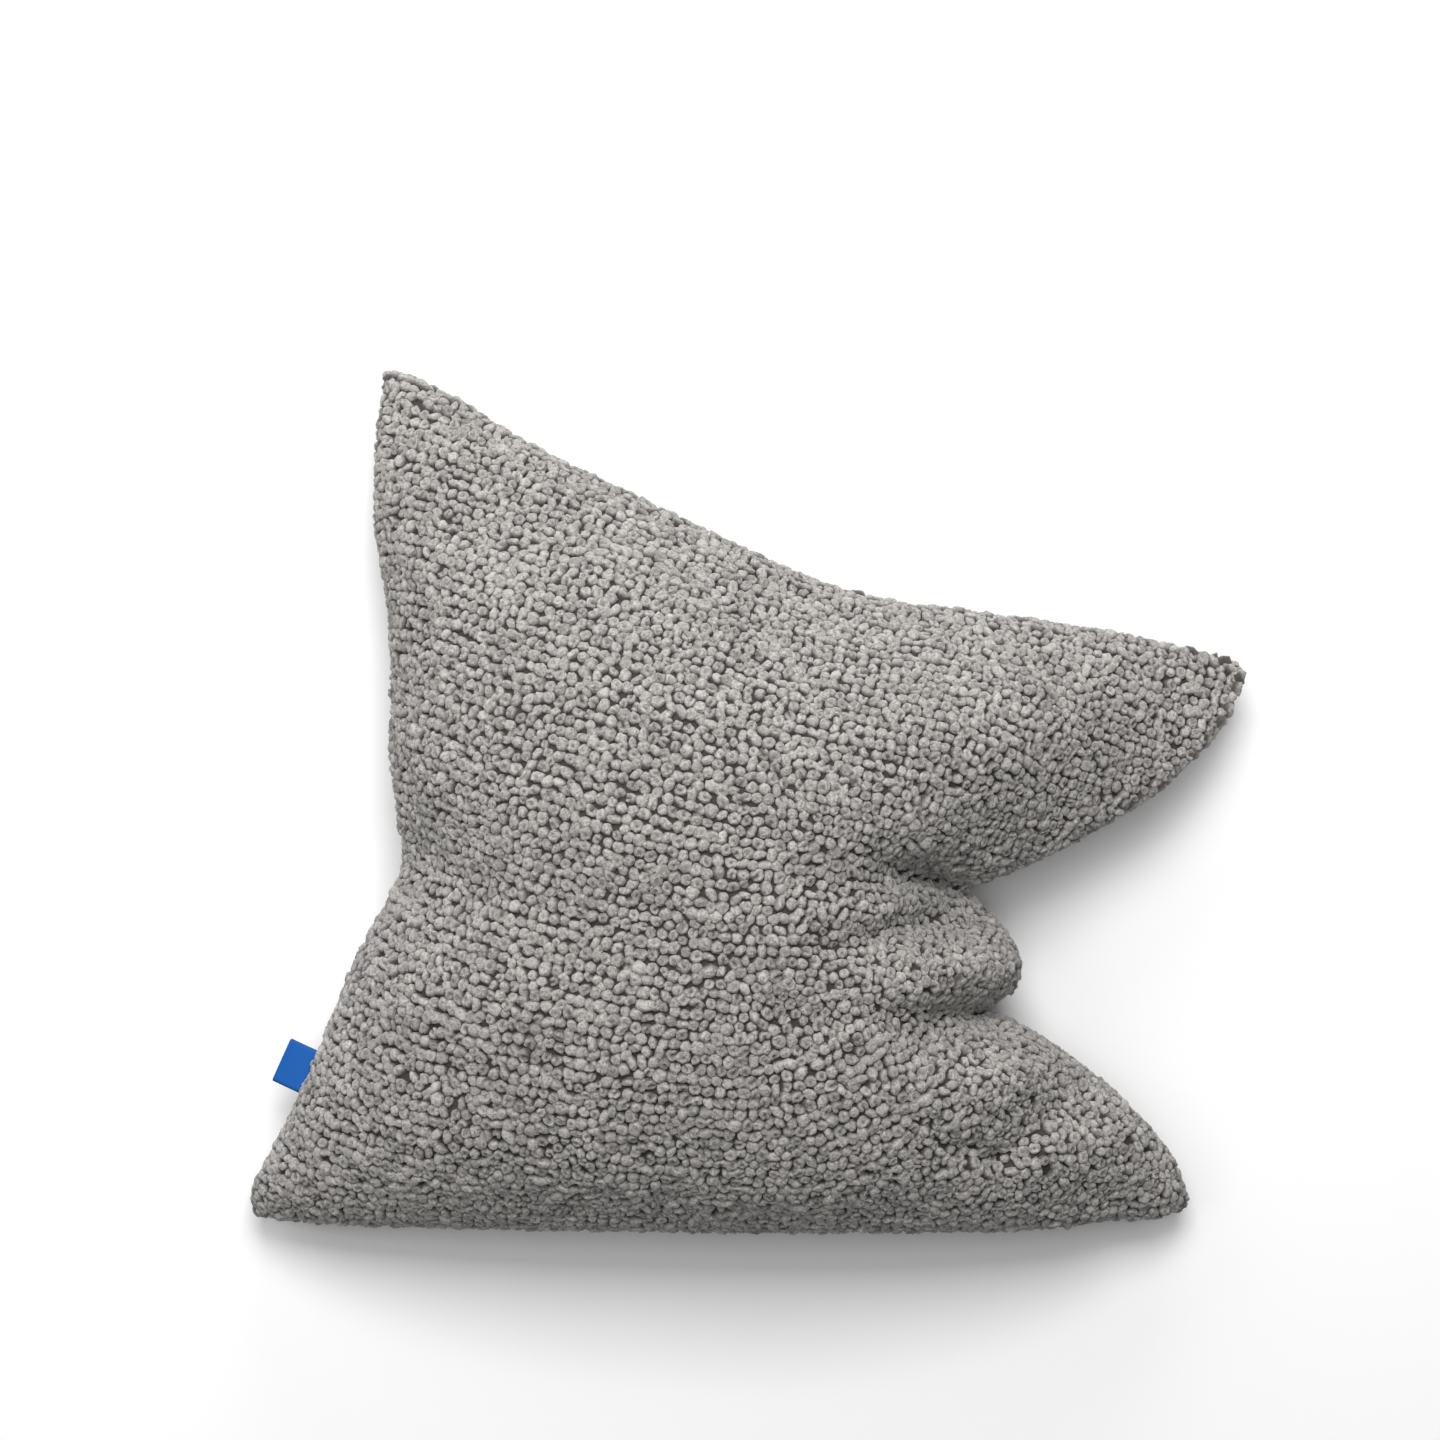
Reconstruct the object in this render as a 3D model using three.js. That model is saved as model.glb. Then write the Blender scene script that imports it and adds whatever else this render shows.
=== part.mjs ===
// A square boucle cushion, slouched as it is after standing on its lower side, and laid on its back.
// Millimetres. +X runs to the right and +Y up across the face, +Z out of the face.
// The origin is below the middle of the outline, on the surface that the back rests on.
import * as THREE from "three";
import { ParametricGeometry } from "three/addons/geometries/ParametricGeometry.js";
import { mergeGeometries, mergeVertices } from "three/addons/utils/BufferGeometryUtils.js";

// Filling
const faceRise = 72; // the face's crown above the level of the seams
const backDrop = 104; // how far the back would hang below that level with nothing under it
const restBlend = 5; // half the height over which the back eases into its flat
const fillingSlump = 1.08; // over 1, the filling has sunk towards the lower side

// How the crown meets each sewn side. A lower rise is a steeper side, and a higher spread is a
// crown that stays level further out.
const leftForm = { rise: 0.5, spread: 2.2 };
const rightForm = { rise: 0.5, spread: 2.1 };
const topForm = { rise: 0.56, spread: 2 };
const bottomForm = { rise: 0.46, spread: 3 };

// The seam lies in a groove between the two panels
const grooveDepth = 3;
const grooveHeight = 4;

// Cells across and down each panel, and how much closer they lie at the seams
const cellsAcross = 44;
const cellsDown = 60;
const edgeCrowding = 0.8;

// Steps in which a sewn side is measured, from each station to the next
const stepsPerStation = 24;

// The four sewn sides, as stations from corner to corner. x, y and z are the seam's place, and
// tuck is the length of sewn cloth that is drawn into a fold there and doesn't show.
const peak = { x: -192, y: 224, z: 28, tuck: 0 };
const flapTip = { x: 261, y: 66, z: 36, tuck: 0 };
const leftFoot = { x: -261, y: -220, z: 26, tuck: 0 };
const rightFoot = { x: 229, y: -218, z: 27, tuck: 0 };

const topSide = [
  peak,
  { x: -179, y: 223, z: 31, tuck: 0 },
  { x: -157, y: 212, z: 36, tuck: 0 },
  { x: -106, y: 181, z: 46, tuck: 0 },
  { x: -58, y: 157.5, z: 54, tuck: 0 },
  { x: -22, y: 140, z: 59, tuck: 2 },
  { x: 9, y: 125, z: 62, tuck: 2 },
  { x: 41, y: 111.5, z: 63, tuck: 2 },
  { x: 72, y: 103, z: 62, tuck: 2 },
  { x: 108, y: 98.5, z: 60, tuck: 0 },
  { x: 155, y: 92.5, z: 55, tuck: 0 },
  { x: 191, y: 87, z: 49, tuck: 0 },
  { x: 228, y: 79.5, z: 42, tuck: 0 },
  { x: 253, y: 73, z: 37, tuck: 0 },
  flapTip,
];

const leftSide = [
  peak,
  { x: -195, y: 181, z: 38, tuck: 0 },
  { x: -194.5, y: 142, z: 47, tuck: 0 },
  { x: -187.5, y: 103, z: 53, tuck: 0 },
  { x: -184.5, y: 61, z: 56, tuck: 2 },
  { x: -185.5, y: 27, z: 57, tuck: 2 },
  { x: -181, y: -11, z: 57, tuck: 4 },
  { x: -179, y: -31, z: 57, tuck: 8 },
  { x: -186.5, y: -53, z: 57, tuck: 4 },
  { x: -203, y: -83, z: 55, tuck: 2 },
  { x: -216.5, y: -115, z: 51, tuck: 0 },
  { x: -233.5, y: -154, z: 44, tuck: 0 },
  { x: -250, y: -186, z: 35, tuck: 0 },
  { x: -260, y: -204, z: 29, tuck: 0 },
  leftFoot,
];

const bottomSide = [
  leftFoot,
  { x: -233, y: -222, z: 32, tuck: 0 },
  { x: -155, y: -222.5, z: 48, tuck: 0 },
  { x: -51, y: -223, z: 58, tuck: 0 },
  { x: 37, y: -223.5, z: 60, tuck: 0 },
  { x: 120, y: -224, z: 54, tuck: 0 },
  { x: 172, y: -222.5, z: 43, tuck: 2 },
  { x: 191, y: -220.5, z: 38, tuck: 4 },
  { x: 209, y: -222, z: 32, tuck: 0 },
  rightFoot,
];

const rightSide = [
  flapTip,
  { x: 255, y: 48, z: 42, tuck: 0 },
  { x: 238, y: 25, z: 52, tuck: 0 },
  { x: 210, y: 1.5, z: 61, tuck: 0 },
  { x: 170.5, y: -22, z: 66, tuck: 0 },
  { x: 137, y: -37.5, z: 66, tuck: 8 },
  { x: 118, y: -45, z: 64, tuck: 14 },
  { x: 114, y: -49, z: 62, tuck: 26 },
  { x: 121, y: -57, z: 61, tuck: 10 },
  { x: 133, y: -68.5, z: 60, tuck: 0 },
  { x: 140, y: -81.5, z: 59, tuck: 0 },
  { x: 140.5, y: -92, z: 58, tuck: 0 },
  { x: 136, y: -100, z: 58, tuck: 4 },
  { x: 123.5, y: -109.5, z: 57, tuck: 18 },
  { x: 131.5, y: -113.5, z: 56, tuck: 10 },
  { x: 150, y: -123, z: 54, tuck: 2 },
  { x: 174, y: -139, z: 50, tuck: 0 },
  { x: 200.5, y: -162, z: 43, tuck: 0 },
  { x: 220.5, y: -185.5, z: 36, tuck: 0 },
  { x: 231, y: -206, z: 30, tuck: 0 },
  rightFoot,
];

// Creases and swells of the cloth, each along a line from a to b. above and below are its half
// widths on the two sides of that line. atA and atB are the share of the local crown that it
// takes away at each end, or adds where they are negative.
const faceFolds = [
  { name: "under the flap", ax: 60, ay: -29, bx: 118, by: -48, above: 8, below: 15, atA: 0.04, atB: 0.74 },
  { name: "across the roll", ax: 40, ay: -72, bx: 118, by: -65, above: 10, below: 15, atA: 0.05, atB: 0.24 },
  { name: "below the roll", ax: 82, ay: -126, bx: 128, by: -110, above: 9, below: 15, atA: 0.03, atB: 0.66 },
  { name: "foot crease", ax: 104, ay: -176, bx: 178, by: -146, above: 13, below: 16, atA: 0.05, atB: 0.26 },
  { name: "foot nip", ax: 88, ay: -164, bx: 132, by: -184, above: 12, below: 12, atA: 0.05, atB: 0.13 },
  { name: "heel dimple", ax: 158, ay: -197, bx: 198, by: -218, above: 14, below: 12, atA: 0.05, atB: 0.3 },
  { name: "waist", ax: -178, ay: -30, bx: -140, by: -46, above: 22, below: 20, atA: 0.28, atB: 0.02 },
  { name: "tab crease", ax: -222, ay: -98, bx: -145, by: -141, above: 12, below: 14, atA: 0.1, atB: 0.04 },
  { name: "flap back", ax: 60, ay: 48, bx: 190, by: 32, above: 34, below: 30, atA: -0.06, atB: -0.16 },
  { name: "roll", ax: 84, ay: -92, bx: 132, by: -86, above: 16, below: 15, atA: -0.05, atB: -0.3 },
  { name: "foot ridge", ax: 150, ay: -182, bx: 204, by: -168, above: 12, below: 14, atA: -0.06, atB: -0.16 },
  { name: "hip", ax: 96, ay: -150, bx: 150, by: -136, above: 14, below: 12, atA: -0.04, atB: -0.12 },
];
const backFolds = [
  { name: "tuck behind the flap", ax: 70, ay: -40, bx: 118, by: -48, above: 10, below: 12, atA: 0, atB: 0.5 },
  { name: "tuck behind the roll", ax: 88, ay: -116, bx: 128, by: -110, above: 9, below: 11, atA: 0, atB: 0.45 },
  { name: "waist behind", ax: -178, ay: -31, bx: -150, by: -38, above: 18, below: 18, atA: 0.25, atB: 0 },
];

// The folded tab in the left seam, at a share of that seam's sewn length from the peak
const tabPlace = 0.828;
const tabWidth = 24; // along the seam
const tabReach = 18.6; // from the seam to its fold
const tabCloth = 1; // each layer
const tabGap = 0.5; // between the layers
const tabDroop = 14; // degrees that its outer end has turned down
const tabClearance = 0.9; // from the seam line to the ends of its layers
const tabSteps = 6;

const grey = new THREE.MeshStandardMaterial({ name: "boucle", color: 0xb9b4ad, roughness: 0.95, metalness: 0 });
const blue = new THREE.MeshStandardMaterial({ name: "tab", color: 0x1f63bd, roughness: 0.55, metalness: 0 });

const mix = THREE.MathUtils.lerp;

// A sewn side as a curve, read by the share of its cloth from the first corner. Its length is
// measured in short steps, and each step also takes its part of the cloth that a tuck hides.
function sewnSide(stations) {
  const points = stations.map((p) => new THREE.Vector3(p.x, p.y, p.z));
  const curve = new THREE.CatmullRomCurve3(points, false, "catmullrom", 0.5);
  const steps = (stations.length - 1) * stepsPerStation;
  const shown = curve.getPoints(steps);
  const cloth = [0];
  for (let i = 1; i <= steps; i++) {
    const station = Math.floor((i - 0.5) / stepsPerStation);
    const hidden = (stations[station].tuck + stations[station + 1].tuck) / 2 / stepsPerStation;
    cloth.push(cloth[i - 1] + shown[i].distanceTo(shown[i - 1]) + hidden);
  }
  return (share) => {
    const reached = THREE.MathUtils.clamp(share, 0, 1) * cloth[steps];
    const next = Math.max(cloth.findIndex((length) => length >= reached), 1);
    const within = (reached - cloth[next - 1]) / (cloth[next] - cloth[next - 1]);
    return new THREE.Vector3().lerpVectors(shown[next - 1], shown[next], within);
  };
}

const top = sewnSide(topSide);
const left = sewnSide(leftSide);
const bottom = sewnSide(bottomSide);
const right = sewnSide(rightSide);

// The sheet stretched between the four seams: across runs from left to right and down from the
// top to the bottom, each from 0 to 1. It is the sum of the two ruled sheets less the corners' one.
function betweenSeams(across, down) {
  const upper = new THREE.Vector3().lerpVectors(corner(peak), corner(flapTip), across);
  const lower = new THREE.Vector3().lerpVectors(corner(leftFoot), corner(rightFoot), across);
  return new THREE.Vector3()
    .addScaledVector(left(down), 1 - across)
    .addScaledVector(right(down), across)
    .addScaledVector(top(across), 1 - down)
    .addScaledVector(bottom(across), down)
    .addScaledVector(upper, down - 1)
    .addScaledVector(lower, -down);
}

function corner(station) {
  return new THREE.Vector3(station.x, station.y, station.z);
}

// A crown from 0 at both seams to 1 half way, in the form of the nearer side
function crown(share, nearForm, farForm) {
  const form = share < 0.5 ? nearForm : farForm;
  return Math.max(1 - Math.abs(2 * share - 1) ** form.spread, 0) ** form.rise;
}

// The share of the crown that the creases leave, or that the swells bring, at a place
function folded(folds, x, y) {
  return folds.reduce((kept, fold) => {
    const run = new THREE.Vector2(fold.bx - fold.ax, fold.by - fold.ay);
    const out = new THREE.Vector2(x - fold.ax, y - fold.ay);
    const share = THREE.MathUtils.clamp(out.dot(run) / run.lengthSq(), 0, 1);
    const off = out.clone().addScaledVector(run, -share);
    const facing = run.cross(off) / (run.length() * Math.max(off.length(), 1e-6));
    const width = mix(fold.below, fold.above, (1 + facing) / 2);
    const depth = mix(fold.atA, fold.atB, THREE.MathUtils.smoothstep(share, 0, 1));
    return kept * (1 - depth * Math.exp(-off.lengthSq() / width ** 2));
  }, 1);
}

// A height eased into the flat that the cushion rests on
function rested(height) {
  if (height >= restBlend) return height;
  return height <= -restBlend ? 0 : (height + restBlend) ** 2 / (4 * restBlend);
}

// A place on the face (side 1) or on the back (side -1)
function onPanel(side, across, down) {
  const sheet = betweenSeams(across, down);
  const filled = crown(across, leftForm, rightForm) * crown(down ** fillingSlump, topForm, bottomForm);
  const cloth = filled * folded(side > 0 ? faceFolds : backFolds, sheet.x, sheet.y);
  const height = cloth * (side > 0 ? faceRise : backDrop);
  const inset = (grooveDepth / (flapTip.x - leftFoot.x)) * 2 * Math.exp(-height / grooveHeight);
  const place = betweenSeams(mix(across, 0.5, inset), mix(down, 0.5, inset));
  place.z = side > 0 ? sheet.z + height : rested(sheet.z - height);
  return place;
}

// Panel cells lie closer together towards the seams
function crowded(share) {
  return mix(share, (1 - Math.cos(Math.PI * share)) / 2, edgeCrowding);
}

function panel(side) {
  const place = (u, v, target) => target.copy(onPanel(side, crowded(side > 0 ? u : 1 - u), crowded(1 - v)));
  const sheet = new ParametricGeometry(place, cellsAcross, cellsDown);
  sheet.deleteAttribute("normal");
  sheet.deleteAttribute("uv");
  return sheet;
}

function cushion() {
  const shell = mergeVertices(mergeGeometries([panel(1), panel(-1)]), 1e-3);
  shell.computeVertexNormals();
  const mesh = new THREE.Mesh(shell, grey);
  mesh.name = "cushion";
  return mesh;
}

// One tape folded back on itself: a section of two layers joined by a half round at the fold,
// bent down along an arc, and carried along the seam.
function tab() {
  const turn = THREE.MathUtils.degToRad(tabDroop);
  const fold = tabCloth + tabGap / 2;
  const straight = tabReach - tabClearance - fold;
  const along = (share, off) => {
    const bent = turn * share;
    const reach = (straight / turn) * Math.sin(bent);
    const sunk = (straight / turn) * (1 - Math.cos(bent));
    return new THREE.Vector2(reach + off * Math.sin(bent), -sunk + off * Math.cos(bent));
  };
  const layer = (off, from, to) =>
    Array.from({ length: tabSteps + 1 }, (_, i) => along(mix(from, to, i / tabSteps), off));
  const halfRound = (radius, from, to) =>
    Array.from({ length: tabSteps - 1 }, (_, i) => {
      const angle = mix(from, to, (i + 1) / tabSteps) - turn;
      return along(1, 0).add(new THREE.Vector2(radius * Math.cos(angle), radius * Math.sin(angle)));
    });
  const quarter = Math.PI / 2;
  const section = new THREE.Shape([
    ...layer(fold, 0, 1),
    ...halfRound(fold, quarter, -quarter),
    ...layer(-fold, 1, 0),
    ...layer(-tabGap / 2, 0, 1),
    ...halfRound(tabGap / 2, -quarter, quarter),
    ...layer(tabGap / 2, 1, 0),
  ]);
  const tape = new THREE.ExtrudeGeometry(section, { depth: tabWidth, bevelEnabled: false });
  tape.translate(tabClearance, 0, -tabWidth / 2);

  const seam = onPanel(1, 0, tabPlace);
  const alongSeam = left(tabPlace - 0.02).sub(left(tabPlace + 0.02)).setZ(0).normalize();
  const up = new THREE.Vector3(0, 0, 1);
  const outward = new THREE.Vector3().crossVectors(up, alongSeam);
  const mesh = new THREE.Mesh(tape, blue);
  mesh.name = "tab";
  mesh.position.copy(seam);
  mesh.quaternion.setFromRotationMatrix(new THREE.Matrix4().makeBasis(outward, up, alongSeam));
  return mesh;
}

const model = new THREE.Group();
model.add(cushion(), tab());

// The outline's middle goes over the origin
const box = new THREE.Box3().setFromObject(model, true);
const middle = box.getCenter(new THREE.Vector3());
model.children.forEach((mesh) => mesh.position.sub(middle.setZ(0)));

export default model;
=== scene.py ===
"""A square boucle cushion, slouched and laid on its back, with a folded tab in its left seam.

The tables and sizes are in millimetres, and the meshes, the lights and the camera in metres.
+X runs to the right and +Y up across the face, +Z out of it, and the back rests on z = 0.
"""

import math
from collections import namedtuple

import bpy
import numpy as np
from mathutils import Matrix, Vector


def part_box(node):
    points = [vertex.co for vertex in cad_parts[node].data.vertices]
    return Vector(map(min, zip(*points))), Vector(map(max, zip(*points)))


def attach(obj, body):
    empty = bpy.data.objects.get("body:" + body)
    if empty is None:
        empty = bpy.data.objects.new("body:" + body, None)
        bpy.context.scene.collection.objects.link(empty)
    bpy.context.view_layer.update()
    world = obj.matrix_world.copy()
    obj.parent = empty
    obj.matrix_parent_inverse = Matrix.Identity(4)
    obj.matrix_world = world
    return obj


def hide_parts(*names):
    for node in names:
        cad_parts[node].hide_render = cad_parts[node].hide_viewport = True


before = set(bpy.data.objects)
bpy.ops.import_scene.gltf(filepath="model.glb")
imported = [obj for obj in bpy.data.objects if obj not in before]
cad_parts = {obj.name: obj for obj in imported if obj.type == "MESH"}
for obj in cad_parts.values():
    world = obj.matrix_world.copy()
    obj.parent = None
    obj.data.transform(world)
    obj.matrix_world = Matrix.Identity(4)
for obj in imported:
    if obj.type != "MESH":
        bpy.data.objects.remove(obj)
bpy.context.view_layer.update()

MM = 0.001

# The columns of the tables
Form = namedtuple("Form", "rise spread")
Station = namedtuple("Station", "x y z tuck")
Fold = namedtuple("Fold", "ax ay bx by above below at_a at_b")
Ring = namedtuple("Ring", "out up")
Knob = namedtuple("Knob", "in_100 stretch dimple mouth")
Lamp = namedtuple("Lamp", "place aim watts")

# Filling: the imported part's sizes, with the crown of the face a little fuller at its sides
FACE_RISE = 72
BACK_DROP = 104
REST_BLEND = 5
FILLING_SLUMP = 1.08
FACE_FORMS = {
    "left": Form(0.5, 3), "right": Form(0.5, 2.1), "top": Form(0.54, 2.5), "bottom": Form(0.44, 5),
}
BACK_FORMS = {
    "left": Form(0.5, 2.2), "right": Form(0.5, 2.1), "top": Form(0.56, 2), "bottom": Form(0.46, 3),
}
GROOVE_DEPTH = 3
GROOVE_HEIGHT = 4
EDGE_CROWDING = 0.95
STEPS_PER_STATION = 24

# The four sewn sides from corner to corner, as stations: the seam's place, and the sewn cloth
# that is hidden in a tuck there
PEAK = (-192, 224, 28, 0)
FLAP_TIP = (261, 66, 36, 0)
LEFT_FOOT = (-261, -220, 26, 0)
RIGHT_FOOT = (229, -218, 27, 0)
TOP_SIDE = [
    PEAK, (-179, 223, 31, 0), (-157, 212, 36, 0), (-106, 181, 46, 0), (-58, 157.5, 54, 0),
    (-22, 140, 59, 2), (9, 125, 62, 2), (41, 111.5, 63, 2), (72, 103, 62, 2), (108, 98.5, 60, 0),
    (155, 92.5, 55, 0), (191, 87, 49, 0), (228, 79.5, 42, 0), (253, 73, 37, 0), FLAP_TIP,
]
LEFT_SIDE = [
    PEAK, (-195, 181, 38, 0), (-194.5, 142, 47, 0), (-187.5, 103, 53, 0), (-184.5, 61, 56, 2),
    (-185.5, 27, 57, 2), (-181, -11, 57, 4), (-179, -31, 57, 8), (-186.5, -53, 57, 4),
    (-203, -83, 55, 2), (-216.5, -115, 51, 0), (-233.5, -154, 44, 0), (-250, -186, 35, 0),
    (-260, -204, 29, 0), LEFT_FOOT,
]
BOTTOM_SIDE = [
    LEFT_FOOT, (-233, -222, 32, 0), (-155, -222.5, 48, 0), (-51, -223, 58, 0), (37, -223.5, 60, 0),
    (120, -224, 54, 0), (172, -222.5, 43, 2), (191, -220.5, 38, 4), (209, -222, 32, 0), RIGHT_FOOT,
]
RIGHT_SIDE = [
    FLAP_TIP, (255, 48, 42, 0), (238, 25, 52, 0), (210, 1.5, 61, 0), (170.5, -22, 66, 0),
    (137, -37.5, 66, 8), (118, -45, 64, 14), (114, -49, 62, 26), (121, -57, 61, 10),
    (133, -68.5, 60, 0), (140, -81.5, 59, 0), (140.5, -92, 58, 0), (136, -100, 58, 4),
    (123.5, -109.5, 57, 18), (131.5, -113.5, 56, 10), (150, -123, 54, 2), (174, -139, 50, 0),
    (200.5, -162, 43, 0), (220.5, -185.5, 36, 0), (231, -206, 30, 0), RIGHT_FOOT,
]

# Folds and swells along a line from a to b: its ends, the half widths above and below it, and the
# share of the local crown that is taken at a and at b, or added where negative
FACE_FOLDS = {
    "under the flap": (60, -29, 118, -48, 8, 15, 0.04, 0.74),
    "across the roll": (40, -71, 118, -61, 10, 15, 0.08, 0.32),
    "below the roll": (52, -113, 126, -110, 12, 13, -0.09, 0.32),
    "foot crease": (104, -176, 178, -146, 13, 16, 0.05, 0.26),
    "foot nip": (88, -166, 128, -183, 12, 12, 0.05, 0.13),
    "heel dimple": (158, -197, 198, -218, 14, 12, 0.05, 0.3),
    "waist": (-178, -30, -140, -46, 22, 20, 0.28, 0.02),
    "tab crease": (-222, -98, -145, -141, 12, 14, 0.1, 0.04),
    "flap back": (60, 48, 190, 32, 34, 30, -0.06, -0.16),
    "roll": (84, -90, 132, -84, 15, 15, -0.02, -0.12),
    "foot ridge": (150, -182, 204, -168, 12, 14, -0.06, -0.16),
    "hip": (96, -150, 150, -136, 14, 12, -0.04, -0.12),
    "flap edge": (140, -28, 256, 58, 42, 30, 0.46, 0.62),
}
BACK_FOLDS = {
    "tuck behind the flap": (70, -40, 118, -48, 10, 12, 0, 0.5),
    "tuck behind the roll": (88, -116, 128, -110, 9, 11, 0, 0.45),
    "waist behind": (-178, -31, -150, -38, 18, 18, 0.25, 0),
}

# Sharp creases along the bottoms of the broad folds
CREASES = {
    "flap crease": (74, -33, 99, -40, 4.5, 8, 0.12, 0.48),
    "flap crease end": (99, -40, 118, -51, 4.5, 8, 0.48, 0.78),
    "roll crease": (44, -71, 90, -61, 5, 8, 0.08, 0.28),
    "roll crease end": (90, -61, 120, -60, 5, 8, 0.28, 0.4),
    "lower crease": (114, -115, 128, -108, 5, 6, 0.08, 0.45),
    "nip crease": (89, -167, 125, -182, 5, 7, 0.02, 0.14),
    "valley crease": (125, -182, 162, -154, 5, 7, 0.14, 0.08),
}

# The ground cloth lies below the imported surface, and the knobs of yarn stand on it
COVER_CELLS = (100, 132)
GROUND_DEPTH = 2
REST_CLEARANCE = 0.15

# The cover's own small wrinkles, from a run of cloth simulation on a coarser shell
SETTLE_CELLS = (72, 96)
SETTLE_QUALITY = 6
SETTLE_MASS = 0.3
SETTLE_PRESSURE = 4
SETTLE_EXCESS = 0.03
SETTLE_FRAMES = 20
SETTLE_CAP = 4
SETTLE_MARGIN = 0.03
REST_TOUCH = 0.5

# Knobs of yarn, in weave rows down the cloth. A row's knobs start at a random share of the pitch.
ROWS = 74
ROW_HEIGHT = 6
ROW_SAMPLES = 500
ROW_START = (0.2, 0.8)
KNOB_PITCH = 5.8
KNOB_JITTER = 0.8
JITTER_CAP = 1.5
KNOB_APART = 3.9  # nearest to an earlier knob
KNOB_BARE = 3.95  # farthest that a spot may be from the nearest knob
KNOB_PUSH = 1.5
KNOB_REACH = 8  # how far off a knob still pushes
KNOB_ROUNDS = 4
NEIGHBOURS = 6
SEAM_MARGIN = 2
SEAM_SHARE = 0.0001
TANGENT_SHARE = 0.1
SPOTS = 12000
BATCH = 1000  # places whose distances are worked out at a time
SEED = 11

# The rows of the lower right corner turn up to the right by a share of the cloth, which eases in
# from a start over a run, both as shares across and down, and eases out again at the lower side
TURNED_ROWS = 0.1
TURN_ACROSS = (0.55, 0.4)
TURN_DOWN = (0.45, 0.25)
TURN_END = 0.22

# A knob is curled yarn: rings of points from its foot to its crown, as shares of its radius out
# and of its height up, round a middle point
FACE_RINGS = [Ring(0.84, -0.5), Ring(1, 0.2), Ring(0.87, 0.72), Ring(0.5, 1)]
BACK_RINGS = [Ring(0.86, -0.5), Ring(1, 0.3), Ring(0.6, 0.92)]
FACE_SIDES = 12
BACK_SIDES = 7
KNOB_RADIUS = 0.55
KNOB_HEIGHT = 3.4
KNOB_SPACE = (4.8, 7.4)
KNOB_LUMPS = 0.15
KNOB_TILT = 0.2
LUMP_RISE = 0.5
SIZE_SPREAD = 0.09
SIZE_LIMITS = (0.8, 1.25)

# Kinds of knob: how many in a hundred, how much longer than wide, how far its middle is sunk, and
# how far its rim is sunk where the curl's mouth opens. The last two vary from knob to knob.
KNOBS = {
    "ball": Knob(27, 1.1, 0.1, 0.15),
    "ring": Knob(28, 1.12, 0.5, 0.1),
    "hook": Knob(27, 1.25, 0.5, 0.8),
    "bean": Knob(18, 1.6, 0.05, 0.35),
}
KIND_SPREAD = (0.6, 1.4)
MOUTH_ANGLE = 0.6
MOUTH_INSET = 0.28
MOUTH_DEPTH = 0.6

# The middle of a knob: its height with neither dimple nor mouth, and what a whole dimple and a
# whole mouth take off it. A whole dimple also takes a little off the top ring.
MIDDLE_HEIGHT = 1.06
DIMPLE_DEPTH = 1.15
MOUTH_MIDDLE = 0.2
DIMPLE_RIM = 0.25

# The bake map's cells: the radius of a knob's disc, and the place and radius of its foot
DISC_RADIUS = 0.46
FOOT_PLACE = 0.06
FOOT_RADIUS = 0.04

# Colours
LIGHT_YARN = (0.24, 0.226, 0.212, 1)
PALE_YARN = (0.58, 0.554, 0.524, 1)
# Dark yarn: painted shade at the knobs' feet, dimples and furrows, and part of the ground's colour
DARK_YARN_AND_PAINTED_SHADE = (0.06, 0.052, 0.046, 1)
# The ground's dark colour, partly its own and partly painted shade between the knobs
GROUND_YARN_AND_PAINTED_SHADE = (0.04, 0.035, 0.031, 1)
TAPE_WARP = (0.001, 0.075, 0.32, 1)
TAPE_WEFT = (0.002, 0.102, 0.4, 1)
FLOOR_PAINT = (0.93, 0.93, 0.93, 1)
SKY = (1, 1, 1, 1)

# The yarn's finish: noise scales over a metre, the spiral's turns from a knob's middle to its rim
# and how many more the knob's tone adds, how far the noise moves the spiral, in knob radii, and
# where the plies lie on it
WARP_SCALE = 330
FIBRE_SCALE = 1700
TUFT_SCALE = 620
DRIFT_SCALE = 30
SPIRAL_TURNS = 1.5
SPIRAL_TURNS_MORE = 0.7
SPIRAL_WARP = 1.7
PLIES_A_TURN = 5
PLIES_ROUND = 1.6
PLIES_SHIFT = 60
FURROW_EDGE = (0.5, 1.0)
FURROW_SHOWS = (0.4, 0.56)
# How dark the furrow is painted: painted shade in the groove between the turns
FURROW_PAINTED_SHADE = 0.6
PALE_RANGE = (0.74, 1.42)
# Painted shade at a knob's foot: the heights over which it fades out
FOOT_SHADE_RANGE = (0.24, 1.2)
YARN_RELIEF = 0.0008
GROUND_RELIEF = 0.0004
TAPE_RELIEF = 0.0001

# The tab, at a share of the left seam from the peak down. Its root is that far off the seam.
TAB_PLACE = 0.828
TAB_WIDTH = 24
TAB_REACH = 18.6  # from the seam to the fold
TAB_CLOTH = 0.75  # each layer
TAB_GAP = 0.25  # between the layers
TAB_DROOP = 14  # degrees that the fold has turned down
TAB_ROOT = 0.4
TAB_SEAM_SPAN = 0.04  # share of the seam that gives the tab its direction
TAB_STEPS = 22
TAB_TURN_STEPS = 13
TAB_STEPS_ACROSS = 25
TAB_SQUARENESS = 40  # the power that rounds the long edges

# The photograph's frame, on the plane of the seams
PHOTO_MM = 748.8
PHOTO_CENTRE = (-14.56, 40.56)
SEAM_PLANE = 50
CAMERA_DISTANCE = 2.4  # metres
FARTHEST_SEEN = 50  # metres
SENSOR_WIDTH = 36

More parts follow.
